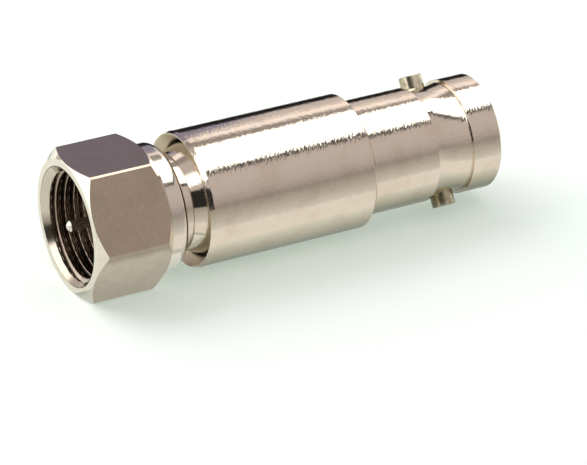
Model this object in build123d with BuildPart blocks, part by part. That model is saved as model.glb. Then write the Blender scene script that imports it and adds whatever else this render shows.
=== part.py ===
from build123d import *
from math import cos, radians, sin, tan
import os

# Coaxial adapter: F plug with a swivelling coupling nut on the left, BNC jack on the right.
# Millimetres. +X runs along the common axis from the nut's front face to the jack's mouth,
# +Z is up, and the adapter lies with a flat of the nut facing down.

# Coupling nut
nut_flats = 11.1
nut_hex_length = 6.75
nut_hex_edge = 0.12
nut_front_ring_r = 5.5
nut_rear_ring_r = 5.3
nut_front_bevel = 37.0
nut_rear_bevel = 40.0
nut_collar_r = 5.2
nut_collar_length = 1.6
nut_collar_round = 0.7
nut_collar_end_r = 4.7
thread_major_r = 4.77
thread_mouth_r = 4.9
thread_mouth_depth = 0.45
nut_back_wall = 1.5

# Front ferrule, the neck that carries the nut
swivel_gap = 0.08
nut_end_play = 0.25
ferrule_neck_r = 4.02
ferrule_flange_r = 4.35
ferrule_flange_width = 1.0
ferrule_bore_r = 3.0
ferrule_back_bore_r = 2.4
ferrule_back_lip = 1.0
neck_ring_end = 9.3
neck_step = 0.07
neck_flare_end = 10.8
neck_flare_r = 4.55
spigot_r = 4.05
spigot_length = 4.5

# Main body
body_left = 9.95
body_wide_r = 5.6
body_step_x = 25.05
body_end = 37.1
barrel_r = 4.8
left_bevel_length = 0.4
left_bevel_drop = 0.1
left_rim_width = 0.05
mouth_cone_length = 1.1
mouth_cone_r = 4.75
recess_length = 2.1
step_bevel = 0.2
chamber_r = 3.5
rim_length = 2.6
groove_length = 3.3
groove_mid_depth = 0.345
groove_wall = 0.25
rim_bevel = 0.12
jack_bore_r = 4.06
jack_bore_depth = 5.4
jack_bore_bevel = 0.25
web_thickness = 0.8

# Bayonet lugs
lug_setback = 4.35
lug_r = 0.97
lug_tip_r = 5.52
lug_angle = 57.0
lug_bevel = 0.05
lug_bore_inset = 0.05

# Contacts and insulators
pin_r = 0.45
pin_root_r = 0.65
pin_tip_x = 0.05
pin_tip_bevel = 0.18
front_insulator_recess = 0.3
contact_r = 1.05
contact_shoulder_r = 1.4
contact_shoulder_length = 1.0
contact_recess = 0.3
contact_tail = 4.5
socket_r = 0.7
socket_depth = 4.6
socket_bevel = 0.15
slot_width = 0.3
slot_length = 3.6
cup_depth = 3.0
jack_insulator_r = 2.4
jack_insulator_neck_r = 2.8
jack_insulator_recess = 0.4
jack_insulator_base = 5.8
insulator_gap = 0.02

# Places along the axis, worked out from the sizes above
nut_back = nut_hex_length + nut_collar_length
nut_shoulder_x = nut_back - nut_back_wall
flange_back = nut_shoulder_x - nut_end_play
flange_front = flange_back - ferrule_flange_width
nut_hole_r = ferrule_neck_r + swivel_gap
hex_corner_r = nut_flats / 2 / cos(radians(30))
recess_end = body_left + recess_length
spigot_end = recess_end + spigot_length
web_right = body_end - jack_bore_depth
web_left = web_right - web_thickness
base_left = web_left - jack_insulator_base
jack_insulator_front = body_end - jack_insulator_recess
contact_front = jack_insulator_front - contact_recess
contact_seat = base_left + contact_shoulder_length
contact_back = base_left - contact_tail
cup_end = contact_back + cup_depth
socket_floor = contact_front - socket_depth
groove_right = body_end - rim_length
groove_left = groove_right - groove_length
groove_middle = groove_right - groove_length / 2
lug_x = body_end - lug_setback
lug_plane = Plane(
    origin=(lug_x, 0, 0),
    x_dir=(1, 0, 0),
    z_dir=(0, cos(radians(lug_angle)), sin(radians(lug_angle))),
)

os.makedirs("parts", exist_ok=True)

# Coupling nut: hexagon with both ends bevelled, collar with a rounded back behind it
front_bevel_depth = (hex_corner_r - nut_front_ring_r) * tan(radians(nut_front_bevel))
rear_bevel_depth = (hex_corner_r - nut_rear_ring_r) * tan(radians(nut_rear_bevel))
with BuildPart() as coupling_nut:
    with BuildSketch(Plane.YZ):
        RegularPolygon(radius=nut_flats / 2, side_count=6, major_radius=False)
    extrude(amount=nut_hex_length)
    chamfer(coupling_nut.edges().filter_by(Axis.X), nut_hex_edge)
    with BuildSketch(Plane.XZ):
        with BuildLine():
            Polyline(
                (0, 0),
                (0, nut_front_ring_r),
                (front_bevel_depth, hex_corner_r),
                (nut_hex_length - rear_bevel_depth, hex_corner_r),
                (nut_hex_length, nut_rear_ring_r),
                (nut_hex_length, 0),
                close=True,
            )
        make_face()
    revolve(axis=Axis.X, mode=Mode.INTERSECT)
    with BuildSketch(Plane.XZ):
        with BuildLine():
            side = Polyline(
                (nut_hex_length, 0),
                (nut_hex_length, nut_collar_r),
                (nut_back - nut_collar_round, nut_collar_r),
            )
            shoulder = TangentArc(side @ 1, (nut_back, nut_collar_end_r), tangent=(1, 0))
            Polyline(shoulder @ 1, (nut_back, 0), side @ 0)
        make_face()
    revolve(axis=Axis.X)
    # mouth bevel, threaded chamber and the hole that turns on the neck
    with BuildSketch(Plane.XZ):
        with BuildLine():
            Polyline(
                (0, 0),
                (0, thread_mouth_r),
                (thread_mouth_depth, thread_major_r),
                (nut_shoulder_x, thread_major_r),
                (nut_shoulder_x, nut_hole_r),
                (nut_back, nut_hole_r),
                (nut_back, 0),
                close=True,
            )
        make_face()
    revolve(axis=Axis.X, mode=Mode.SUBTRACT)
coupling_nut.part.label = "coupling_nut"
export_step(coupling_nut.part, "parts/coupling_nut.step")

# Front ferrule: flange inside the nut, neck flaring to a shoulder, spigot pressed into the body
with BuildPart() as front_ferrule:
    with BuildSketch(Plane.XZ):
        with BuildLine():
            Polyline(
                (flange_front, ferrule_bore_r),
                (flange_front, ferrule_flange_r),
                (flange_back, ferrule_flange_r),
                (flange_back, ferrule_neck_r),
                (neck_ring_end - neck_step, ferrule_neck_r),
                (neck_ring_end, ferrule_neck_r - neck_step),
                (neck_flare_end, neck_flare_r),
                (recess_end, neck_flare_r),
                (recess_end, spigot_r),
                (spigot_end, spigot_r),
                (spigot_end, ferrule_back_bore_r),
                (spigot_end - ferrule_back_lip, ferrule_back_bore_r),
                (spigot_end - ferrule_back_lip, ferrule_bore_r),
                close=True,
            )
        make_face()
    revolve(axis=Axis.X)
front_ferrule.part.label = "front_ferrule"
export_step(front_ferrule.part, "parts/front_ferrule.step")

# Main body: wide shell, step down to the barrel, hollow groove behind the mouth's rim
left_rim_r = body_wide_r - left_bevel_drop
with BuildPart() as main_body:
    with BuildSketch(Plane.XZ):
        with BuildLine():
            Polyline(
                (body_left, 0),
                (body_left, left_rim_r),
                (body_left + left_bevel_length, body_wide_r),
                (body_step_x - step_bevel, body_wide_r),
                (body_step_x, body_wide_r - step_bevel),
                (body_step_x, barrel_r),
                (body_end, barrel_r),
                (body_end, 0),
                close=True,
            )
        make_face()
    revolve(axis=Axis.X)
    chamfer(main_body.faces().sort_by(Axis.X)[-1].edges(), rim_bevel)
    with BuildSketch(Plane.XZ):
        with BuildLine():
            hollow = ThreePointArc(
                (groove_left, barrel_r),
                (groove_middle, barrel_r - groove_mid_depth),
                (groove_right, barrel_r - groove_wall),
            )
            Polyline(hollow @ 1, (groove_right, barrel_r), hollow @ 0)
        make_face()
    revolve(axis=Axis.X, mode=Mode.SUBTRACT)
    # countersunk left end, ferrule seat, inner chamber, web and jack bore
    with BuildSketch(Plane.XZ):
        with BuildLine():
            Polyline(
                (body_left, 0),
                (body_left, left_rim_r - left_rim_width),
                (body_left + mouth_cone_length, mouth_cone_r),
                (recess_end, mouth_cone_r),
                (recess_end, spigot_r),
                (spigot_end, spigot_r),
                (spigot_end, chamber_r),
                (web_left, chamber_r),
                (web_left, jack_insulator_neck_r + insulator_gap),
                (web_right, jack_insulator_neck_r + insulator_gap),
                (web_right, jack_bore_r),
                (body_end - jack_bore_bevel, jack_bore_r),
                (body_end, jack_bore_r + jack_bore_bevel),
                (body_end, 0),
                close=True,
            )
        make_face()
    revolve(axis=Axis.X, mode=Mode.SUBTRACT)
    # holes for the two lug pins, straight across the barrel
    with BuildSketch(lug_plane):
        Circle(lug_r)
    extrude(amount=body_wide_r, both=True, mode=Mode.SUBTRACT)
main_body.part.label = "main_body"
export_step(main_body.part, "parts/main_body.step")


# Bayonet lugs: pins pressed through the barrel wall, flush inside the jack bore
def make_lug(name, plane):
    with BuildPart() as lug:
        with BuildSketch(plane):
            Circle(lug_r)
        extrude(amount=lug_tip_r)
        chamfer(lug.faces().sort_by(Axis(plane.origin, plane.z_dir))[-1].edges(), lug_bevel)
        with BuildSketch(Plane.YZ.offset(lug_x)):
            Circle(jack_bore_r + lug_bore_inset)
        extrude(amount=lug_r * 2, both=True, mode=Mode.SUBTRACT)
    lug.part.label = name
    export_step(lug.part, f"parts/{name}.step")


lower_lug_plane = Plane(
    origin=lug_plane.origin, x_dir=lug_plane.x_dir, z_dir=lug_plane.z_dir * -1
)
make_lug("bayonet_lug_upper", lug_plane)
make_lug("bayonet_lug_lower", lower_lug_plane)

# Centre pin: thin in the nut, thicker from the insulator to the cup of the jack contact
front_insulator_left = flange_front + front_insulator_recess
with BuildPart() as centre_pin:
    with BuildSketch(Plane.YZ.offset(pin_tip_x)):
        Circle(pin_r)
    extrude(amount=front_insulator_left - pin_tip_x)
    with BuildSketch(Plane.YZ.offset(front_insulator_left)):
        Circle(pin_root_r)
    extrude(amount=cup_end - front_insulator_left)
    chamfer(centre_pin.faces().sort_by(Axis.X)[0].edges(), pin_tip_bevel)
centre_pin.part.label = "centre_pin"
export_step(centre_pin.part, "parts/centre_pin.step")

# Front insulator: plug of plastic that centres the pin in the ferrule
front_insulator_right = spigot_end - ferrule_back_lip
with BuildPart() as front_insulator:
    with BuildSketch(Plane.YZ.offset(front_insulator_left)):
        Circle(ferrule_bore_r - insulator_gap)
        Circle(pin_root_r + insulator_gap, mode=Mode.SUBTRACT)
    extrude(amount=front_insulator_right - front_insulator_left)
front_insulator.part.label = "front_insulator"
export_step(front_insulator.part, "parts/front_insulator.step")

# Rear insulator: bead that fills the chamber and holds the contact's shoulder forward
with BuildPart() as rear_insulator:
    with BuildSketch(Plane.YZ.offset(spigot_end)):
        Circle(chamber_r - insulator_gap)
        Circle(pin_root_r + insulator_gap, mode=Mode.SUBTRACT)
    extrude(amount=base_left - spigot_end)
    with BuildSketch(Plane.YZ.offset(contact_back)):
        Circle(contact_r + insulator_gap)
    extrude(amount=base_left - contact_back, mode=Mode.SUBTRACT)
rear_insulator.part.label = "rear_insulator"
export_step(rear_insulator.part, "parts/rear_insulator.step")

# Jack contact: slotted socket in front, shoulder in the middle, cup for the wire behind
with BuildPart() as jack_contact:
    with BuildSketch(Plane.XZ):
        with BuildLine():
            Polyline(
                (contact_back, pin_root_r + insulator_gap),
                (contact_back, contact_r),
                (base_left, contact_r),
                (base_left, contact_shoulder_r),
                (contact_seat, contact_shoulder_r),
                (contact_seat, contact_r),
                (contact_front - socket_bevel, contact_r),
                (contact_front, contact_r - socket_bevel),
                (contact_front, socket_r + socket_bevel),
                (contact_front - socket_bevel, socket_r),
                (socket_floor, socket_r),
                (socket_floor, 0),
                (cup_end, 0),
                (cup_end, pin_root_r + insulator_gap),
                close=True,
            )
        make_face()
    revolve(axis=Axis.X)
    with BuildSketch(Plane.XY):
        with Locations((contact_front, 0)):
            Rectangle(slot_length, slot_width, align=(Align.MAX, Align.CENTER))
    extrude(amount=contact_r * 2, both=True, mode=Mode.SUBTRACT)
jack_contact.part.label = "jack_contact"
export_step(jack_contact.part, "parts/jack_contact.step")

# Jack insulator: base held in the body's chamber, tube standing in the jack's mouth
with BuildPart() as jack_insulator:
    with BuildSketch(Plane.XZ):
        with BuildLine():
            Polyline(
                (base_left, contact_shoulder_r + insulator_gap),
                (base_left, chamber_r - insulator_gap),
                (web_left, chamber_r - insulator_gap),
                (web_left, jack_insulator_neck_r),
                (web_right, jack_insulator_neck_r),
                (web_right, jack_insulator_r),
                (jack_insulator_front, jack_insulator_r),
                (jack_insulator_front, contact_r + insulator_gap),
                (contact_seat, contact_r + insulator_gap),
                (contact_seat, contact_shoulder_r + insulator_gap),
                close=True,
            )
        make_face()
    revolve(axis=Axis.X)
jack_insulator.part.label = "jack_insulator"
export_step(jack_insulator.part, "parts/jack_insulator.step")
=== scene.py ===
import math

import bpy
from mathutils import Euler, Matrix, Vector


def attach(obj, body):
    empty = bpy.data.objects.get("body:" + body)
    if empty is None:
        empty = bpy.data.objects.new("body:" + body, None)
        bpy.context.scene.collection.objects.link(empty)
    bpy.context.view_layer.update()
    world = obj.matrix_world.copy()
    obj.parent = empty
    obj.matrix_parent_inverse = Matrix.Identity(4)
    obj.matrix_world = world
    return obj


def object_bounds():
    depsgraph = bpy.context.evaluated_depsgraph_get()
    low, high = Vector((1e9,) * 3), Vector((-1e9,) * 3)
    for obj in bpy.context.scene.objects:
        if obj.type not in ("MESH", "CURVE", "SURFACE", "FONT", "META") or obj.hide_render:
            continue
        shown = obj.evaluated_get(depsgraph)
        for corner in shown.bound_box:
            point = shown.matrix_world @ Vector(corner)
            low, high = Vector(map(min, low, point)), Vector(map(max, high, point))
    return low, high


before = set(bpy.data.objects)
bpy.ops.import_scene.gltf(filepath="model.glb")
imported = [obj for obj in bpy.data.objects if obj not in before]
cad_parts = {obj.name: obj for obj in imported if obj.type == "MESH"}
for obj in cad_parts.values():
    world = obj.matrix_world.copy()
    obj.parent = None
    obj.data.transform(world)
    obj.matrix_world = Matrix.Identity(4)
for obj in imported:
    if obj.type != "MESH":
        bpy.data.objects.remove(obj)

# Coaxial adapter lying on a pale floor: nickel-plated nut, neck, body and lugs.
# Metres. +X runs from the nut's front face to the jack's mouth, +Z is up.
MM = 0.001
cad_low, cad_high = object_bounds()
scene = bpy.context.scene
floor_z = cad_low.z

# Lengths and radii from here to the lead-in cone's are in millimetres.
# The nut's flats end at HEX_END and lie outside HEX_INNER_RADIUS.
HEX_END = 6.75
HEX_INNER_RADIUS = 5.4

# Radius by which the sharp edges look rounded
EDGE_RADIUS = 0.04
NUT_EDGE_RADIUS = 0.07

# The countersunk left end of the body: a cone, then a recess down to its floor, coloured near black as
# painted shade
CONE_RIM_RADIUS = 5.45
CONE_END = 11.05
RECESS_START = 10.75
RECESS_FLOOR = 12.1
RECESS_RADIUS = 4.95

# Thread inside the nut: 3/8 inch, 32 turns to the inch, right-handed
THREAD_PITCH = 25.4 / 32
THREAD_WALL_RADIUS = 4.95
THREAD_ROOT_RADIUS = 4.76
THREAD_CREST_RADIUS = 4.37
THREAD_END = 5.1
THREAD_ROUND_STEPS = 144
THREAD_LENGTH_STEPS = 220

# Where the crest ends and where the root starts, from the crest's middle, as shares of the pitch
CREST_EDGE = 0.125
ROOT_EDGE = 0.44

# Cone at the nut's mouth that cuts back the first turns
LEAD_IN_RADIUS = 4.9
LEAD_IN_SLOPE = 0.8
LEAD_IN_LENGTH = (LEAD_IN_RADIUS - THREAD_CREST_RADIUS) / LEAD_IN_SLOPE


def opaque(red, green, blue):
    return (red, green, blue, 1.0)


# Plated and moulded colours
NICKEL = opaque(0.72, 0.64, 0.53)
NICKEL_STAIN = opaque(0.66, 0.57, 0.46)
# Painted shade: near black for the body's recess
RECESS_PAINTED_SHADE = opaque(0.11, 0.09, 0.07)
LUG_NICKEL = opaque(0.72, 0.66, 0.49)
LUG_STAIN = opaque(0.30, 0.26, 0.17)
NUT_TURNED = opaque(0.71, 0.64, 0.54)
NUT_FLAT = opaque(0.455, 0.372, 0.284)
NUT_FLAT_STAIN = opaque(0.41, 0.335, 0.251)
LEAD_IN_NICKEL = opaque(0.55, 0.48, 0.39)
# Painted shade for the thread deep inside the nut
THREAD_PAINTED_SHADE = opaque(0.30, 0.23, 0.18)
PIN_PLATE = opaque(0.74, 0.68, 0.58)
CONTACT_GOLD = opaque(0.90, 0.66, 0.30)
BEAD_WHITE = opaque(0.80, 0.80, 0.77)
JACK_WHITE = opaque(0.88, 0.88, 0.86)
BLACK_PAINT = opaque(0.0, 0.0, 0.0)


# Small helpers for node materials
class Shader:
    """A material with a Principled shader, and short ways to add nodes to it."""

    def __init__(self, name):
        self.material = bpy.data.materials.new(name)
        self.material.use_nodes = True
        self.tree = self.material.node_tree
        self.main = self.tree.nodes["Principled BSDF"]
        self.place = self.tree.nodes.new("ShaderNodeTexCoord")

    def node(self, kind, inputs=None, **settings):
        made = self.tree.nodes.new(kind)
        for key, value in settings.items():
            setattr(made, key, value)
        for key, value in (inputs or {}).items():
            self.feed(made.inputs[key], value)
        return made

    def feed(self, socket, value):
        if isinstance(value, bpy.types.NodeSocket):
            self.tree.links.new(value, socket)
        else:
            socket.default_value = value

    def set(self, **values):
        """Fills the Principled shader's sockets, named with underscores for spaces."""
        for key, value in values.items():
            self.feed(self.main.inputs[key.replace("_", " ")], value)

    def math(self, operation, a, b=0.0, c=0.0):
        made = self.node("ShaderNodeMath", {0: a, 1: b, 2: c}, operation=operation)
        return made.outputs[0]

    def both(self, a, b):
        """The product of two masks, or of a height and the mask that keeps it in place."""
        return self.math("MULTIPLY", a, b)

    def ramp(self, value, low, high, start=0.0, end=1.0):
        sockets = {"Value": value, "From Min": low, "From Max": high, "To Min": start, "To Max": end}
        made = self.node("ShaderNodeMapRange", clamp=True, interpolation_type="SMOOTHSTEP")
        for key, content in sockets.items():
            self.feed(made.inputs[key], content)
        return made.outputs["Result"]

    def above(self, distance, start, blend):
        """Rises from 0 to 1 over a short way past start, both in millimetres."""
        return self.ramp(distance, start * MM, (start + blend) * MM)

    def below(self, distance, start, blend):
        """Falls from 1 to 0 over a short way past start, both in millimetres."""
        return self.ramp(distance, start * MM, (start + blend) * MM, 1.0, 0.0)

    def mix(self, factor, a, b):
        made = self.node("ShaderNodeMix", data_type="RGBA")
        self.feed(made.inputs["Factor"], factor)
        self.feed(made.inputs["A"], a)
        self.feed(made.inputs["B"], b)
        return made.outputs["Result"]

    def noise(self, vector, scale, detail, roughness):
        sockets = {"Vector": vector, "Scale": scale, "Detail": detail, "Roughness": roughness}
        return self.node("ShaderNodeTexNoise", sockets).outputs["Fac"]

    def turning_lines(self, scale, detail):
        """Noise that changes along a turned surface and is even all round it."""
        along, out = self.axis_place()
        made = self.node("ShaderNodeTexNoise", noise_dimensions="1D")
        self.feed(made.inputs["W"], self.math("ADD", along, out))
        self.feed(made.inputs["Scale"], scale)
        self.feed(made.inputs["Detail"], detail)
        return made.outputs["Fac"]

    def stretched(self, x, y, z):
        sockets = {"Vector": self.place.outputs["Object"], "Scale": (x, y, z)}
        return self.node("ShaderNodeMapping", sockets).outputs["Vector"]

    def bump(self, height, depth, normal=None):
        """Raises the surface by a height from 0 to 1 times a depth in millimetres."""
        made = self.node("ShaderNodeBump", {"Height": height, "Distance": depth * MM})
        if normal is not None:
            self.feed(made.inputs["Normal"], normal)
        return made.outputs["Normal"]

    def axis_place(self):
        """The distance along the axis and the distance from it, in metres."""
        split = self.node("ShaderNodeSeparateXYZ", {0: self.place.outputs["Object"]})
        y_squared = self.math("MULTIPLY", split.outputs["Y"], split.outputs["Y"])
        sum_squared = self.math("MULTIPLY_ADD", split.outputs["Z"], split.outputs["Z"], y_squared)
        return split.outputs["X"], self.math("SQRT", sum_squared)

    def rounded_edges(self, radius):
        """A normal that rounds sharp edges by a radius in millimetres."""
        return self.node("ShaderNodeBevel", {"Radius": radius * MM}, samples=6).outputs["Normal"]


# Nickel plate over turned brass: fine turning lines, faint stains and specks, and on the countersunk body
# painted shade, near black, in the recess
def turned_nickel(name, colour, stain, roughness, line_depth, speck_depth, countersunk=False):
    shader = Shader(name)
    fine = shader.turning_lines(scale=9000.0, detail=3.0)
    broad = shader.turning_lines(scale=1300.0, detail=2.0)
    lines = shader.math("MULTIPLY_ADD", broad, 0.6, fine)
    specks = shader.noise(shader.stretched(1.0, 0.35, 0.35), scale=6500.0, detail=2.0, roughness=0.5)
    clouds = shader.noise(shader.place.outputs["Object"], scale=420.0, detail=4.0, roughness=0.6)
    plate = shader.mix(shader.ramp(clouds, 0.42, 0.72), colour, stain)
    rough = shader.ramp(clouds, 0.3, 0.7, roughness * 0.85, roughness * 1.25)
    if countersunk:
        # Painted shade: the recess behind the cone is coloured near black, and the cone is made rougher
        along, out = shader.axis_place()
        within = shader.below(out, RECESS_RADIUS, blend=0.05)
        behind_start = shader.above(along, RECESS_START, blend=0.2)
        before_floor = shader.below(along, RECESS_FLOOR, blend=0.1)
        deep = shader.both(shader.both(behind_start, before_floor), within)
        plate = shader.mix(deep, plate, RECESS_PAINTED_SHADE)
        inside_rim = shader.below(out, CONE_RIM_RADIUS - 0.04, blend=0.04)
        before_recess = shader.below(along, CONE_END, blend=0.05)
        in_cone = shader.both(inside_rim, before_recess)
        rough = shader.math("MULTIPLY_ADD", in_cone, 0.35, rough)
    turned = shader.bump(lines, line_depth, shader.rounded_edges(EDGE_RADIUS))
    speckled = shader.bump(specks, speck_depth, turned)
    shader.set(Base_Color=plate, Roughness=rough, Metallic=1.0, Normal=speckled)
    return shader.material


# The nut's flats are dull drawn bar with streaks along the axis; its other faces are turned
def nut_nickel(name, turned_colour, flat_colour, flat_stain, roughness):
    shader = Shader(name)
    along, out = shader.axis_place()
    in_hexagon = shader.below(along, HEX_END - 0.1, blend=0.1)
    outside = shader.above(out, HEX_INNER_RADIUS - 0.1, blend=0.1)
    face = shader.node("ShaderNodeSeparateXYZ", {0: shader.place.outputs["Normal"]})
    sideways = shader.ramp(shader.math("ABSOLUTE", face.outputs["X"]), 0.1, 0.3, 1.0, 0.0)
    flat = shader.both(shader.both(in_hexagon, outside), sideways)
    clouds = shader.noise(shader.place.outputs["Object"], scale=330.0, detail=4.0, roughness=0.6)
    grain = shader.noise(shader.place.outputs["Object"], scale=2600.0, detail=2.0, roughness=0.6)
    mottle = shader.math("MULTIPLY_ADD", grain, 0.5, clouds)
    drawn_plate = shader.mix(shader.ramp(mottle, 0.58, 0.96), flat_colour, flat_stain)
    plate = shader.mix(flat, turned_colour, drawn_plate)
    rough = shader.ramp(clouds, 0.3, 0.7, roughness * 0.8, roughness * 1.3)
    swell = shader.noise(shader.place.outputs["Object"], scale=260.0, detail=1.0, roughness=0.4)
    waves = shader.bump(shader.both(swell, flat), 0.05, shader.rounded_edges(NUT_EDGE_RADIUS))
    streaks = shader.noise(shader.stretched(0.08, 1.0, 1.0), scale=5000.0, detail=3.0, roughness=0.6)
    drawn = shader.bump(shader.both(streaks, flat), 0.0015, waves)
    turned = shader.turning_lines(scale=7000.0, detail=3.0)
    not_flat = shader.math("SUBTRACT", 1.0, flat)
    lines = shader.bump(shader.both(turned, not_flat), 0.003, drawn)
    shader.set(Base_Color=plate, Roughness=rough, Metallic=1.0, Normal=lines)
    return shader.material


# The thread's plate is bright on the lead-in cone, and coloured dark inside as painted shade
def thread_nickel(name, bright, painted_shade_colour, roughness):
    shader = Shader(name)
    along, out = shader.axis_place()
    # Painted shade: past the lead-in cone the thread is coloured dark
    inside = shader.above(along, LEAD_IN_LENGTH, blend=0.3)
    clouds = shader.noise(shader.place.outputs["Object"], scale=420.0, detail=4.0, roughness=0.6)
    rough = shader.ramp(clouds, 0.3, 0.7, roughness * 0.85, roughness * 1.25)
    cuts = shader.bump(shader.turning_lines(scale=9000.0, detail=3.0), 0.002)
    shader.set(Base_Color=shader.mix(inside, bright, painted_shade_colour), Roughness=rough, Metallic=1.0, Normal=cuts)
    return shader.material


# Small metal parts: a plated wire and the gold-plated contact
def plated(name, colour, roughness, line_scale):
    shader = Shader(name)
    clouds = shader.noise(shader.place.outputs["Object"], scale=900.0, detail=3.0, roughness=0.6)
    shade = opaque(*(0.82 * part for part in colour[:3]))
    plate = shader.mix(shader.ramp(clouds, 0.4, 0.7), colour, shade)
    rough = shader.ramp(clouds, 0.3, 0.7, roughness * 0.85, roughness * 1.3)
    lines = shader.bump(shader.turning_lines(line_scale, detail=2.0), 0.002)
    shader.set(Base_Color=plate, Roughness=rough, Metallic=1.0, Normal=lines)
    return shader.material


# Insulators: waxy white plastic with faint cutting marks
def waxy_plastic(name, colour, roughness):
    shader = Shader(name)
    clouds = shader.noise(shader.place.outputs["Object"], scale=700.0, detail=3.0, roughness=0.5)
    shade = opaque(*(0.93 * part for part in colour[:3]))
    plastic = shader.mix(shader.ramp(clouds, 0.35, 0.7), colour, shade)
    rough = shader.ramp(clouds, 0.3, 0.7, roughness * 0.9, roughness * 1.15)
    lines = shader.bump(shader.turning_lines(scale=5000.0, detail=2.0), 0.004)
    shader.set(Base_Color=plastic, Roughness=rough, Normal=lines)
    shader.set(Subsurface_Weight=0.15, Subsurface_Scale=0.4 * MM)
    return shader.material


# Body plate, with painted shade in its countersunk recess
body_metal = turned_nickel(
    "body_nickel",
    NICKEL,
    NICKEL_STAIN,
    roughness=0.08,
    line_depth=0.0018,
    speck_depth=0.018,
    countersunk=True,
)
neck_metal = turned_nickel(
    "neck_nickel", NICKEL, NICKEL_STAIN, roughness=0.08, line_depth=0.0035, speck_depth=0.004
)
lug_metal = turned_nickel(
    "lug_nickel", LUG_NICKEL, LUG_STAIN, roughness=0.2, line_depth=0.002, speck_depth=0.002
)
bead_plastic = waxy_plastic("bead_plastic", BEAD_WHITE, roughness=0.5)
node_materials = {
    "coupling_nut": nut_nickel("nut_nickel", NUT_TURNED, NUT_FLAT, NUT_FLAT_STAIN, roughness=0.13),
    "front_ferrule": neck_metal,
    "main_body": body_metal,
    "bayonet_lug_upper": lug_metal,
    "bayonet_lug_lower": lug_metal,
    "centre_pin": plated("pin_plate", PIN_PLATE, roughness=0.2, line_scale=4000.0),
    "front_insulator": bead_plastic,
    "rear_insulator": bead_plastic,
    "jack_insulator": waxy_plastic("jack_plastic", JACK_WHITE, roughness=0.42),
    "jack_contact": plated("contact_gold", CONTACT_GOLD, roughness=0.2, line_scale=6000.0),
}
for node_name, material in node_materials.items():
    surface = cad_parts[node_name].data
    surface.materials.clear()
    surface.materials.append(material)


def add_object(name, data):
    made = bpy.data.objects.new(name, data)
    scene.collection.objects.link(made)
    return made


def add_mesh(name, verts, faces, material):
    mesh = bpy.data.meshes.new(name)
    mesh.from_pydata(verts, [], faces)
    mesh.materials.append(material)
    return add_object(name, mesh)


def circle_points(x, radii):
    """Points round the axis, one for each radius, from millimetres to metres."""
    points = []
    for j, radius in enumerate(radii):
        angle = j / len(radii) * 2 * math.pi
        points.append((x * MM, radius * math.cos(angle) * MM, radius * math.sin(angle) * MM))
    return points


def thread_radius(x, turn):
    """Radius of the thread at a place along the axis and a share of a turn, in millimetres."""
    from_crest = abs((x / THREAD_PITCH - turn) % 1.0 - 0.5)
    climb = (from_crest - CREST_EDGE) / (ROOT_EDGE - CREST_EDGE)
    climb = min(max(climb, 0.0), 1.0)
    helix = THREAD_CREST_RADIUS + (THREAD_ROOT_RADIUS - THREAD_CREST_RADIUS) * climb
    return max(helix, LEAD_IN_RADIUS - x * LEAD_IN_SLOPE)


# Thread liner inside the nut: a helical ridge cut back by the cone of the lead-in
def make_thread(name, material):
    count = THREAD_ROUND_STEPS
    verts = []
    for i in range(THREAD_LENGTH_STEPS):
        x = THREAD_END * i / THREAD_LENGTH_STEPS
        verts += circle_points(x, [thread_radius(x, j / count) for j in range(count)])
    verts += circle_points(THREAD_END, [THREAD_ROOT_RADIUS] * count)
    wall = len(verts)
    verts += circle_points(0.0, [THREAD_WALL_RADIUS] * count)
    verts += circle_points(THREAD_END, [THREAD_WALL_RADIUS] * count)
    last = THREAD_LENGTH_STEPS * count
    faces = []
    for j in range(count):
        k = (j + 1) % count
        for i in range(THREAD_LENGTH_STEPS):
            a = i * count
            faces.append((a + j, a + k, a + count + k, a + count + j))
        faces.append((wall + j, wall + k, k, j))
        faces.append((last + j, last + k, wall + count + k, wall + count + j))
        faces.append((wall + count + j, wall + count + k, wall + k, wall + j))
    liner = add_mesh(name, verts, faces, material)
    liner.data.shade_smooth()
    liner.data.set_sharp_from_angle(angle=math.radians(35))
    return liner


# Bright plate on the lead-in, and painted shade deeper in the thread
thread_metal = thread_nickel("thread_nickel", LEAD_IN_NICKEL, THREAD_PAINTED_SHADE, roughness=0.16)
thread = make_thread("nut_thread", thread_metal)
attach(thread, "nut")

# Camera at the photograph's place: solved from the barrel, the steps and the hexagon
camera_data = bpy.data.cameras.new("camera")
camera_data.sensor_width = 36.0
camera_data.lens = 237.0
camera_data.clip_start = 0.01
camera_data.clip_end = 20.0
camera = add_object("camera", camera_data)
camera.location = (-0.1124, -0.2471, 0.1397)
looking = Vector((0.4202, 0.7826, -0.4597))
camera.rotation_euler = looking.to_track_quat("-Z", "Y").to_euler()
scene.camera = camera


# One for rays that the camera sends, straight or by way of metal and glass, else nothing
def seen_ray(tree):
    path = tree.nodes.new("ShaderNodeLightPath")
    total = path.outputs["Is Camera Ray"]
    for output in ("Is Glossy Ray", "Is Transmission Ray"):
        either = tree.nodes.new("ShaderNodeMath")
        either.operation = "MAXIMUM"
        tree.links.new(total, either.inputs[0])
        tree.links.new(path.outputs[output], either.inputs[1])
        total = either.outputs[0]
    return total


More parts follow.
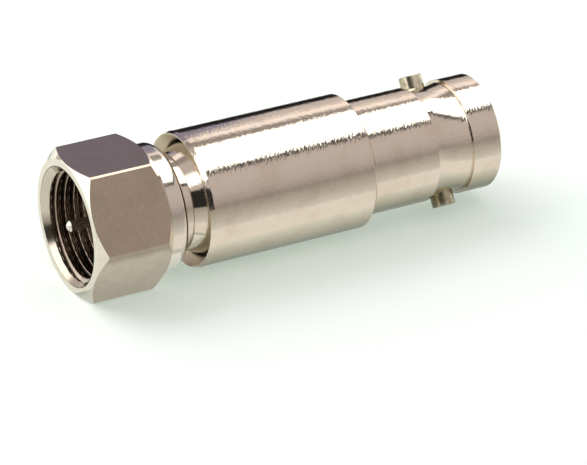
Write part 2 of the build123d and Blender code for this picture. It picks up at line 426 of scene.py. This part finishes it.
# Pale floor that is near white where it is seen and keeps the shadow. Its lift grows far from
# the adapter, where the lamp's light falls off.
FLOOR_REACH = 3.0
FLOOR_LIFT = 0.33
FAR_LIFT = 0.75
NEAR_REACH = 0.06
FAR_REACH = 0.4
paper = Shader("floor_paper")
distance = paper.node("ShaderNodeVectorMath", {0: paper.place.outputs["Object"]}, operation="LENGTH")
lift = paper.ramp(distance.outputs["Value"], NEAR_REACH, FAR_REACH, FLOOR_LIFT, FAR_LIFT)
paper.set(
    Base_Color=opaque(0.79, 0.78, 0.76),
    Roughness=0.9,
    Specular_IOR_Level=0.1,
    Emission_Color=opaque(0.81, 1.0, 0.90),
    Emission_Strength=paper.both(seen_ray(paper.tree), lift),
)
floor_corners = [
    (-FLOOR_REACH, -FLOOR_REACH, floor_z),
    (FLOOR_REACH, -FLOOR_REACH, floor_z),
    (FLOOR_REACH, FLOOR_REACH, floor_z),
    (-FLOOR_REACH, FLOOR_REACH, floor_z),
]
floor = add_mesh("floor", floor_corners, [(0, 1, 2, 3)], paper.material)

# Large soft lamp, from behind on the left, that lights the floor and casts the shadow. The
# metal doesn't show it.
LAMP_PLACE = Vector((-0.18, 0.32, 0.34))
LAMP_LENGTH = 0.5
LAMP_WIDTH = 0.4
LAMP_RADIANCE = 2.9
lamp_data = bpy.data.lights.new("soft_lamp", "AREA")
lamp_data.shape = "RECTANGLE"
lamp_data.size = LAMP_LENGTH
lamp_data.size_y = LAMP_WIDTH
lamp_data.energy = LAMP_RADIANCE * LAMP_LENGTH * LAMP_WIDTH * math.pi
lamp = add_object("soft_lamp", lamp_data)
lamp.location = LAMP_PLACE
lamp.rotation_euler = (-LAMP_PLACE).to_track_quat("-Z", "Y").to_euler()
lamp.visible_camera = False
lamp.visible_glossy = False

# Overhead box, turned in plan, which the metal sees as a white glow with a dark flap
TOP_PLACE = Vector((0.23, 0.01, 0.42))
TOP_LENGTH = 1.0
TOP_WIDTH = 0.28
TOP_TURN = 38
FLAP_WIDTH = 0.07


# Dark flap along the front edge of the overhead box
def make_flap(name):
    half = TOP_LENGTH / 2
    near = -TOP_WIDTH / 2
    far = near - FLAP_WIDTH
    corners = [(-half, near, 0), (half, near, 0), (half, far, 0), (-half, far, 0)]
    shader = Shader(name)
    shader.set(Base_Color=opaque(0.12, 0.11, 0.12), Roughness=0.9)
    flap = add_mesh(name, corners, [(0, 1, 2, 3)], shader.material)
    flap.location = TOP_PLACE
    flap.rotation_euler.z = math.radians(TOP_TURN)
    flap.visible_camera = False
    return flap


make_flap("box_flap")


# A surface that gives light and reflects none, lit by a colour and a strength
def glowing(shader, colour, strength):
    shader.set(
        Base_Color=BLACK_PAINT, Specular_IOR_Level=0.0, Emission_Color=colour, Emission_Strength=strength
    )


# A prop that shows in the metal and neither lights nor shades anything else
def show_to_metal_only(prop):
    prop.visible_camera = False
    prop.visible_diffuse = False
    prop.visible_shadow = False


# Light tent: a half cylinder that stands on the floor over the adapter, with a bright strip
# behind and a dark one above it, an even roof, and a front that darkens toward the floor.
# Each level stands with its angle up from the floor behind, in degrees.
TENT_RADIUS = 0.6
TENT_LEFT = -0.4
TENT_RIGHT = 1.6
TENT_STEPS = 60
TENT_TINT = (1.0, 0.91, 0.90)
TENT_LEVELS = {
    0: 0.66,
    36: 0.80,
    42: 1.35,
    50: 1.35,
    54: 0.40,
    64: 0.40,
    72: 0.68,
    115: 0.68,
    135: 0.70,
    152: 0.66,
    165: 0.56,
    180: 0.36,
}


def make_tent(name):
    verts = []
    for x in (TENT_LEFT, TENT_RIGHT):
        for i in range(TENT_STEPS + 1):
            angle = math.pi * i / TENT_STEPS
            verts.append((x, TENT_RADIUS * math.cos(angle), TENT_RADIUS * math.sin(angle)))
    back = TENT_STEPS + 1
    faces = [(i, i + 1, back + i + 1, back + i) for i in range(TENT_STEPS)]
    shader = Shader(name)
    split = shader.node("ShaderNodeSeparateXYZ", {0: shader.place.outputs["Object"]})
    turn = shader.math("ARCTAN2", split.outputs["Z"], split.outputs["Y"])
    walls = shader.node("ShaderNodeValToRGB", {"Fac": shader.math("DIVIDE", turn, math.pi)})
    stops = walls.color_ramp.elements
    while len(stops) < len(TENT_LEVELS):
        stops.new(0.5)
    brightest = max(TENT_LEVELS.values())
    for stop, (degrees, level) in zip(stops, TENT_LEVELS.items()):
        stop.position = degrees / 180
        stop.color = opaque(*(tint * level / brightest for tint in TENT_TINT))
    glowing(shader, walls.outputs["Color"], brightest)
    tent = add_mesh(name, verts, faces, shader.material)
    tent.location.z = floor_z
    show_to_metal_only(tent)
    return tent


make_tent("light_tent")


# A panel stands on the middle of its foot, or lies with its foot nearest to the camera
def make_panel(name, place, width, height, foot_colour, top_colour, turn=0, lying=False):
    half = width / 2
    corners = [(-half, 0, 0), (half, 0, 0), (half, 0, height), (-half, 0, height)]
    shader = Shader(name)
    split = shader.node("ShaderNodeSeparateXYZ", {0: shader.place.outputs["Object"]})
    share = shader.math("DIVIDE", split.outputs["Z"], height)
    glowing(shader, shader.mix(share, opaque(*foot_colour), opaque(*top_colour)), 1.0)
    panel = add_mesh(name, corners, [(0, 1, 2, 3)], shader.material)
    panel.location = place
    panel.rotation_euler.z = math.radians(turn)
    if lying:
        panel.rotation_euler.x = math.radians(-90)
    show_to_metal_only(panel)


BLACK = (0.03, 0.03, 0.03)
HORIZON = (0.02, 0.018, 0.02)
SHEET_GREY = (0.35, 0.33, 0.45)
CARD_DARK = (0.44, 0.41, 0.37)
CARD_PALE = (0.85, 0.85, 0.82)
WINDOW_FOOT = (1.6, 1.6, 1.6)
WINDOW_WHITE = (2.6, 2.6, 2.6)
GLOW = (3.2, 3.2, 3.2)
LIT_PAPER = (1.0, 0.98, 0.94)
SHADE_EDGE = (0.95, 0.97, 0.90)
SHADE_DEEP = (0.31, 0.35, 0.31)
SHADE_FAR = (0.40, 0.44, 0.41)
# Painted light for the sheet under the nut
PALE_EDGE = (1.05, 1.12, 1.11)
PALE_DEEP = (0.54, 0.60, 0.56)

# A dark wall on the camera's side, left of and behind the camera
make_panel("dark_panel", (-0.21, -0.34, floor_z), 0.62, 0.34, BLACK, BLACK, turn=148)
# The dark end of the paper, low down behind
make_panel("horizon_strip", (0.07, 0.045, floor_z), 0.14, 0.022, HORIZON, HORIZON)
# A grey sheet behind the adapter's left part, seen in the nut's top flat
make_panel("grey_sheet", (0.028, 0.06, floor_z), 0.032, 0.08, SHEET_GREY, SHEET_GREY)
# A bright window at the left end, behind
make_panel("left_window", (-0.41, 0.18, floor_z), 0.8, 0.55, WINDOW_FOOT, WINDOW_WHITE, turn=66)
# A low card in front that darkens upward
make_panel("front_card", (0.05, -0.0138, floor_z), 0.2, 0.0073, CARD_PALE, CARD_DARK)

# Height of the panels that lie on the floor, clear of it
paper_z = floor_z + 0.0001
# The floor's shade in front of and beyond the line where the body lies
make_panel("floor_shade", (0.0325, -0.007, paper_z), 0.045, 0.0043, SHADE_EDGE, SHADE_DEEP, lying=True)
make_panel("deep_shade", (0.0325, -0.0027, paper_z), 0.045, 0.004, SHADE_DEEP, SHADE_FAR, lying=True)
# The lit floor between the shade and the low card
make_panel("lit_floor", (0.025, -0.0137, paper_z), 0.07, 0.0067, LIT_PAPER, LIT_PAPER, lying=True)
# A sheet of painted light under the nut, paler than the shaded floor there, which the nut's lower flat
# shows
make_panel("nut_painted_light", (0.004, -0.006, paper_z), 0.011, 0.005, PALE_EDGE, PALE_DEEP, lying=True)

# The overhead box's own glow, just above its place, from its front edge back
glow_foot = Vector((0, -TOP_WIDTH / 2, MM))
glow_foot.rotate(Euler((0, 0, math.radians(TOP_TURN))))
make_panel("box_glow", TOP_PLACE + glow_foot, TOP_LENGTH, TOP_WIDTH, GLOW, GLOW, turn=TOP_TURN, lying=True)

# World: white where it is seen, directly or in the metal, and a plain grey light elsewhere
world = bpy.data.worlds.new("studio")
scene.world = world
world.use_nodes = True
world_tree = world.node_tree
grey_light = world_tree.nodes["Background"]
grey_light.inputs["Color"].default_value = opaque(0.62, 0.62, 0.62)
white_wall = world_tree.nodes.new("ShaderNodeBackground")
white_wall.inputs["Color"].default_value = opaque(1.0, 1.0, 1.0)
choose = world_tree.nodes.new("ShaderNodeMixShader")
world_tree.links.new(seen_ray(world_tree), choose.inputs["Fac"])
world_tree.links.new(grey_light.outputs["Background"], choose.inputs[1])
world_tree.links.new(white_wall.outputs["Background"], choose.inputs[2])
world_tree.links.new(choose.outputs["Shader"], world_tree.nodes["World Output"].inputs["Surface"])

scene.view_settings.view_transform = "Standard"
